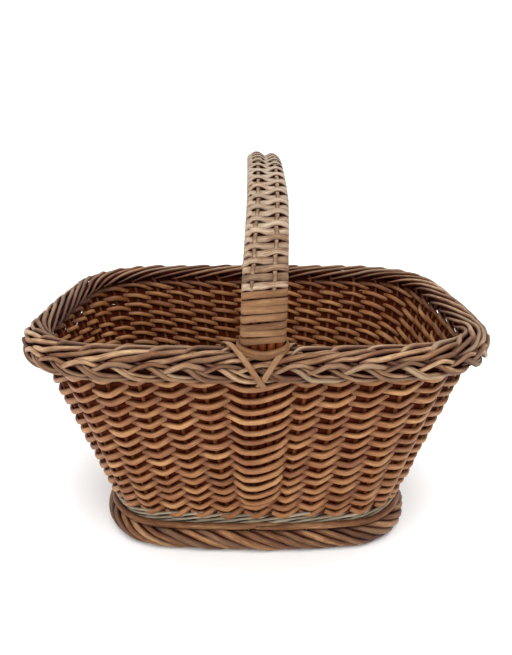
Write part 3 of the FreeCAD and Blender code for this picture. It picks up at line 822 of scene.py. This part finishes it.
def bow_line(distance):
    """Middle of the bow in YZ and its heading, at distances from the front spring of the arch."""
    steps = np.linspace(-LEG - 5, ARCH + LEG + 5, 6001)
    heading = np.interp(
        steps,
        [0, BEND, ARCH - BEND, ARCH],
        [spring_turn, SHOULDER_TURN, -SHOULDER_TURN, -spring_turn],
    )
    gap = steps[1] - steps[0]
    y = np.cumsum(np.cos(heading)) * gap
    z = np.cumsum(np.sin(heading)) * gap
    y += spring_y - np.interp(0, steps, y)
    z += RIM_TOP - np.interp(0, steps, z)
    return tuple(np.interp(distance, steps, values) for values in (y, z, heading))


# The wound handle narrows to the crown, bends a little to the right halfway up its front, and is
# rolled over and pressed down a little at the crown.
CROWN_ROLL = 1.9
SHARES = [0.0, 0.1, 0.2, 0.28, 0.38, 0.5, 0.64, 0.8, 1.0]
ASIDE = [-2.6, -1.0, 1.0, 2.2, 1.0, -0.6, -0.4, 0.2, -1.6]
DROP = [0.0, 0.0, 0.0, 0.3, 1.0, 2.0, 1.0, 0.3, 0.0]
HALF_WIDTHS = [19.3, 18.8, 18.4, 18.0, 17.0, 16.2, 16.8, 18.0, 19.3]


def bow_point(distance, across, out):
    """Point of the handle: across is a share of its half width, out is away from the inside."""
    distance, across, out = np.broadcast_arrays(distance, across, out)
    y, z, heading = bow_line(distance)
    share = distance / ARCH
    aside = HANDLE_X + np.interp(share, SHARES, ASIDE)
    half = np.interp(share, SHARES, HALF_WIDTHS)
    roll = -CROWN_ROLL * across * ramp(share, 0.15, 0.45) * ramp(-share, -0.9, -0.55)
    raised = out + (roll - np.interp(share, SHARES, DROP))
    normal = np.stack([np.zeros_like(y), -np.sin(heading), np.cos(heading)], -1)
    point = np.stack([aside + across * half, y, z], -1) + normal * raised[..., None]
    return point, normal


WIDEST = 19.7  # half width of the handle that the bow rods' places are shares of
for rod in range(BOW_RODS):
    node = f"handle_bow_rod_{rod + 1}"
    bundle = Bundle(f"bow_{rod + 1}")
    samples = 260
    distance = np.linspace(-LEG, ARCH + LEG, samples)
    place = (rod - BOW_RODS // 2) * ROD_PITCH / WIDEST
    path, outward = bow_point(distance, place, wander(samples, 0.15))
    to_tip = np.minimum(distance + LEG, ARCH + LEG - distance)
    width = 2 * ROD_RADIUS * np.minimum(1, 0.35 + to_tip / 40)
    # In the wall and under the wraps a rod gets painted shade; only where it leaves the border,
    # bare, is it unshaded.
    bare = np.minimum(distance, ARCH - distance)
    hidden_shade = 0.85 - 0.65 * ramp(bare, -12, -3) * ramp(-bare, -16, -8)
    bundle.add(path, outward, width, width, shade=hidden_shade)
    bundle.build(bow_willow, "bow_willow", node)

# ---- skein round the handle

FIRST_WRAP = 8.0  # the plain stretch starts this far above the border
PLAIN_RUN = SHOULDER * math.radians(32.0)
PLAIN_TURNS = 7
PER_TURN = 52  # samples of the skein in one turn
WOUND_HALF = 18.6  # half width of the section that the skein is wound on
PLAIN_MARGIN = -0.5  # the skein's middle lies this far out from that section
WRAP_START = -0.4  # a wrap starts out of sight, on the handle's inside


def around(turn, margin):
    """Section of the wound handle at a share of a turn: place across, as a share of its half
    width, place out, and angle of its outward normal."""
    flat, end = WOUND_HALF - HALF_DEPTH, HALF_DEPTH
    lengths = np.array([2 * flat, math.pi * end, 2 * flat, math.pi * end])
    total = lengths.sum()
    corners = np.concatenate([[0], np.cumsum(lengths)])
    p = np.mod(turn, 1.0) * total
    side = np.minimum(np.searchsorted(corners, p, side="right") - 1, 3)
    q = (p - corners[side]) / lengths[side]
    # In turn: the outer face, the right edge, the inner face and the left edge.
    on_side = [side == 0, side == 1, side == 2]
    angles = [np.pi / 2 + 0 * q, np.pi * (0.5 - q), -np.pi / 2 + 0 * q]
    centres = [-flat + 2 * flat * q, flat + 0 * q, flat - 2 * flat * q]
    angle = np.select(on_side, angles, -np.pi * (0.5 + q))
    centre = np.select(on_side, centres, -flat)
    radius = HALF_DEPTH + margin
    across = centre + radius * np.cos(angle)
    return across / WOUND_HALF, radius * np.sin(angle), angle


def wound(bundle, distance, turn, margin, width, thick, **more):
    """Strip of skein laid round the handle: turns counted from the left edge of its front."""
    across, out, angle = around(turn, margin)
    path, normal = bow_point(distance, across, out)
    outward = normal * np.sin(angle)[:, None] + np.array([1.0, 0, 0]) * np.cos(angle)[:, None]
    bundle.add(path, outward, width, thick, power=3.2, sides=12, **more)


def wrap_tints(turn, spread):
    """Tint of every sample, much the same within one turn and different from turn to turn."""
    knots = rng.uniform(0.5 - spread, 0.5 + spread, int(turn[-1]) + 2)
    return np.interp(turn, np.arange(len(knots)) + 0.5 * rng.uniform(-0.2, 0.2, len(knots)), knots)


def plain_wraps(name, node, start, stop, turns):
    """Plain stretch of the wound skein, from start to stop along the bow."""
    bundle = Bundle(name)
    pitch = (stop - start) / turns
    samples = PER_TURN * turns + 1
    turn = np.linspace(WRAP_START, turns, samples)
    tilt = 0.8 * np.sin(turn * 2.1) * np.cos(np.pi * np.mod(turn, 1.0)) ** 2
    distance = start + turn * pitch + wander(samples, 0.4, 14) + tilt
    width = abs(pitch) * (0.97 + wander(samples, 0.03, 16))
    tint = wrap_tints(turn, 0.35)
    wound(bundle, distance, turn, PLAIN_MARGIN, width, 1.15, tint=tint, age=0.05)
    bundle.build(skein_willow, "handle_skein", node)


crown_start, crown_stop = PLAIN_RUN + 3, ARCH - PLAIN_RUN - 3
plain_wraps("front_wraps", "front_wrap", FIRST_WRAP, crown_start, PLAIN_TURNS)
plain_wraps("rear_wraps", "rear_wrap", crown_stop, ARCH - FIRST_WRAP, PLAIN_TURNS)

LISTING_PLACE = 0.47  # of a listing rod, as a share of the handle's half width
LIFT = 3.3  # of a wrap over a listing rod
WRAP_PITCH = 6.4
CROWN_TURNS = 2 * int(round((crown_stop - crown_start) / WRAP_PITCH / 2))
crown_pitch = (crown_stop - crown_start) / CROWN_TURNS


def listing_place(distance, side):
    """Place of a listing rod across the handle; both drift to the right on the way to the crown."""
    return side * LISTING_PLACE + np.interp(distance / ARCH, [0.1, 0.45, 0.9], [-0.08, 0.1, -0.05])


bundle = Bundle("crown_wraps")
samples = PER_TURN * CROWN_TURNS + 1
turn = np.linspace(WRAP_START, CROWN_TURNS, samples)
number = np.minimum(np.floor(turn), CROWN_TURNS - 1)
distance = crown_start + turn * crown_pitch + wander(samples, 0.3, PER_TURN / 2)
across, _, angle = around(turn, 0)
# Wraps go over the left and the right listing rod by turns.
over = np.where(number % 2 == 1, -1, 1)
apart = np.abs(across - listing_place(distance, over))
lifted = LIFT * ramp(-apart, -0.5, -0.06) * (np.sin(angle) > 0.5)
lifted = lifted * (1 + wander(samples, 0.06, PER_TURN))
# A wrap is squeezed over the listing rod, and slides down it a little.
width = crown_pitch * (1.05 + wander(samples, 0.05, PER_TURN)) * (1 - 0.2 * lifted / LIFT)
grey = 0.5 * ramp(distance, 60, 160) * ramp(ARCH - distance, 60, 160)
age = np.clip(grey + wander(samples, 0.12, PER_TURN), 0, 1)
tint = wrap_tints(turn, 0.45)
# Painted shade: the wraps darken along both sides, in the gaps between them.
wound(bundle, distance, turn, PLAIN_MARGIN + lifted, width, 1.1, tint=tint, age=age, edge=0.85)
bundle.build(crown_willow, "handle_skein", "crown_wrap")

for side, node in ((-1, "left_listing_rod"), (1, "right_listing_rod")):
    bundle = Bundle("rod_" + node)
    samples = 420
    distance = np.linspace(crown_start - 3, crown_stop + 3, samples)
    phase = (distance - crown_start) / crown_pitch - 0.22
    # The rod dips under every second wrap and stands proud between them.
    tucked = 2.2 * (1 - ramp(np.minimum(distance - crown_start, crown_stop - distance), -3, 6))
    out = HALF_DEPTH + 1.0 + 0.35 * side * np.cos(np.pi * phase) - tucked
    path, outward = bow_point(distance, listing_place(distance, side) + wander(samples, 0.02), out)
    # Painted shade: the rod darkens where it runs under a wrap.
    under_wrap_shade = 0.45 * ramp(-side * np.cos(np.pi * phase), -0.2, 0.8)
    width, thick = 3.4 + wander(samples, 0.2), 2.6 + wander(samples, 0.1)
    bundle.add(path, outward, width, thick, age=0.3, shade=under_wrap_shade)
    bundle.build(listing_willow, "pale_skein", node)

# ---- collars

# Each collar is two bands that sag on the outside: height, and 1 for the one that lies deeper.
COLLAR_BANDS = [(4.2, 0.0), (0.6, 1.0)]
BAND_WIDTH = 4.4
BAND_THICK = 2.6
for end, node in ((0, "front_collar"), (1, "rear_collar")):
    bundle = Bundle("bands_" + node)
    samples = 90
    for level, sink in COLLAR_BANDS:
        turn = np.linspace(-0.02, 1.02, samples)
        across, out, angle = around(turn, 1.6)
        front = np.where(np.sin(angle) > 0, np.cos(np.clip(across, -1, 1) * np.pi / 2), 0)
        distance = level - 3.8 * front
        margin = 1.3 + 2.8 * front + 0.7 * sink
        if end:
            distance = ARCH - distance
        wound(bundle, distance, turn, margin, BAND_WIDTH, BAND_THICK, tint=0.6 - 0.25 * sink)
    bundle.build(skein_willow, "handle_skein", node)

# ---- lashings

# The two straps of a lashing start apart on the border and meet at its underside. Places are along
# the border from the handle's middle, and angles are round the border's section.
STRAP_WIDTH = 5.2
STRAP_THICK = 1.3
STRAP_TOP = {"left": -36.5, "right": 25.5}
STRAP_FOOT = -4.2
STRAP_END = -58
# Where a strap dips under the border's rods, and how far it spreads.
STRAP_TUCK = {"front": 165, "rear": 115}
STRAP_SPREAD = {"front": 1, "rear": 0.75}
for end in ("front", "rear"):
    for hand in ("left", "right"):
        node = f"{end}_{hand}_lashing"
        samples = 70
        tuck = STRAP_TUCK[end]
        angle = np.linspace(tuck, STRAP_END, samples)
        share = ramp(angle, -40, 118) * 0.25 + 0.75 * np.clip((angle + 38) / 156, 0, 1)
        foot = STRAP_FOOT + (3.0 if hand == "left" else -1.5)
        across = foot + (STRAP_TOP[hand] * STRAP_SPREAD[end] - foot) * share
        # The left strap lies over the right one.
        raised = 2.9 if hand == "left" else 1.7
        depth = -raised + 4.6 * ramp(angle, tuck - 30, tuck) + 4.5 * ramp(-angle, 36, 58)
        centre = rim_outline.length / 2 if end == "rear" else 0.0
        facing = -1 if end == "rear" else 1
        distance = centre + facing * (across + HANDLE_X)
        path, outward = section_point(
            rim_outline, distance, angle, depth, RIM_HALF, RIM_DEPTH / 2, RIM_MIDDLE
        )
        bundle = Bundle(f"strap_{end}_{hand}")
        tint = rng.uniform(0.4, 0.8)
        bundle.add(path, outward, STRAP_WIDTH, STRAP_THICK, power=3.0, sides=12, tint=tint)
        bundle.build(strap_willow, "pale_skein", node)

# ---- bottom of the basket

floor_line = foot_outline.inset(FOOT_OVERHANG + WALL_THICKNESS)
edge, _ = floor_line.at(np.linspace(0, floor_line.length, 2000))
BASE_MIDDLE = (base_low[2] + base_high[2]) / 2
floor_length, floor_breadth = 2 * floor_line.values[0], 2 * floor_line.values[1]


def reach_at(offset, axis):
    """Half length of the floor across an offset, along X (axis 0) or Y (axis 1)."""
    quarter = edge[(edge[:, 0] >= 0) & (edge[:, 1] >= 0)]
    order = np.argsort(quarter[:, 1 - axis])
    return np.interp(abs(offset), quarter[order, 1 - axis], quarter[order, axis])


CROSS_STICKS, LONG_STICKS = 9, 5
cross_places = [floor_length * ((i + 1) / (CROSS_STICKS + 1) - 0.5) for i in range(CROSS_STICKS)]
long_places = [floor_breadth * ((i + 1) / (LONG_STICKS + 1) - 0.5) for i in range(LONG_STICKS)]
UPWARD = np.array([0.0, 0.0, 1.0])


def base_stick(kind, number, place, axis, samples, widths, thick):
    """Stick of the base that runs along X (axis 0) or Y (axis 1), at a place across that."""
    reach = reach_at(place, axis) - 1
    path = np.empty((samples, 3))
    path[:, axis] = np.linspace(-reach, reach, samples)
    path[:, 1 - axis] = place + wander(samples, 0.3)
    path[:, 2] = BASE_MIDDLE + wander(samples, 0.2)
    bundle = Bundle(f"{kind}_stick_{number}")
    bundle.add(path, UPWARD, tapered(samples, *widths), thick, sides=10)
    bundle.build(base_willow, "base_willow", f"base_{kind}_stick_{number}")


for number, place in enumerate(cross_places, start=1):
    base_stick("cross", number, place, 1, 40, (7.8, 7.4), 6.0)
for number, place in enumerate(long_places, start=1):
    base_stick("long", number, place, 0, 60, (5.0, 4.7), 4.8)

bundle = Bundle("floor_weave")
BASE_ROW = 5.3
STICK_ROOM = 2.4  # a row nearer than this to a long stick is left out
floor_rows = np.arange(-floor_breadth / 2 + 3, floor_breadth / 2 - 2, BASE_ROW)
stick_step = floor_length / (CROSS_STICKS + 1)
for index, place in enumerate(floor_rows):
    if np.min(np.abs(np.array(long_places) - place)) < STICK_ROOM:
        continue
    reach = reach_at(place, 0) - 1.5
    samples = max(24, int(reach / 1.6))
    x = np.linspace(-reach, reach, samples)
    swing = np.cos(np.pi * (x / stick_step + index))
    rise = 4.1 * np.sign(swing) * np.abs(swing) ** 0.7
    path = np.stack([x, place + wander(samples, 0.25), BASE_MIDDLE + rise], 1)
    bundle.add(path, UPWARD, tapered(samples, 5.1, 4.7), 2.7, sides=8)
bundle.build(base_willow, "base_willow", "base_weave")

# ---- floor, light and camera


def plain_material(name, colour, roughness):
    material = bpy.data.materials.new(name)
    material.use_nodes = True
    shader = material.node_tree.nodes["Principled BSDF"]
    shader.inputs["Base Color"].default_value = colour
    shader.inputs["Roughness"].default_value = roughness
    return material


F = 4  # half the floor's side, in metres as all of the stage is
floor_mesh = bpy.data.meshes.new("floor")
floor_mesh.from_pydata([(-F, -F, 0), (F, -F, 0), (F, F, 0), (-F, F, 0)], [], [(0, 1, 2, 3)])
floor_mesh.materials.append(plain_material("floor_white", (0.96, 0.96, 0.96, 1), 0.9))
floor_plate = bpy.data.objects.new("floor", floor_mesh)
bpy.context.scene.collection.objects.link(floor_plate)


def soft_light(name, place, target, side, power):
    """Square area light, with its side in metres and its power in watts."""
    light = bpy.data.lights.new(name, "AREA")
    light.shape, light.size, light.energy = "SQUARE", side, power
    lamp = bpy.data.objects.new(name, light)
    lamp.location = place
    lamp.rotation_euler = (Vector(target) - Vector(place)).to_track_quat("-Z", "Y").to_euler()
    bpy.context.scene.collection.objects.link(lamp)


soft_light("key", (0.4, -1.15, 1.8), (0, 0, 0.15), 1.1, 19)
soft_light("fill", (-1.3, -1.1, 0.8), (0, 0, 0.15), 1.2, 8)
soft_light("top", (0.0, 0.3, 1.9), (0, 0, 0.1), 1.2, 12)

world = bpy.data.worlds.new("studio")
world.use_nodes = True
background = world.node_tree.nodes["Background"]
background.inputs["Color"].default_value = (1, 1, 1, 1)
background.inputs["Strength"].default_value = 1.12
bpy.context.scene.world = world
bpy.context.scene.view_settings.view_transform = "Standard"

CAMERA_PLACE = Vector((0.0, -0.6233, 0.4101))
CAMERA_AIM = Vector((0.0, 0.0, 0.2013))
lens = bpy.data.cameras.new("camera")
lens.sensor_width = 36.0
lens.lens = 32.68
camera = bpy.data.objects.new("camera", lens)
camera.location = CAMERA_PLACE
camera.rotation_euler = (CAMERA_AIM - CAMERA_PLACE).to_track_quat("-Z", "Y").to_euler()
bpy.context.scene.collection.objects.link(camera)
bpy.context.scene.camera = camera
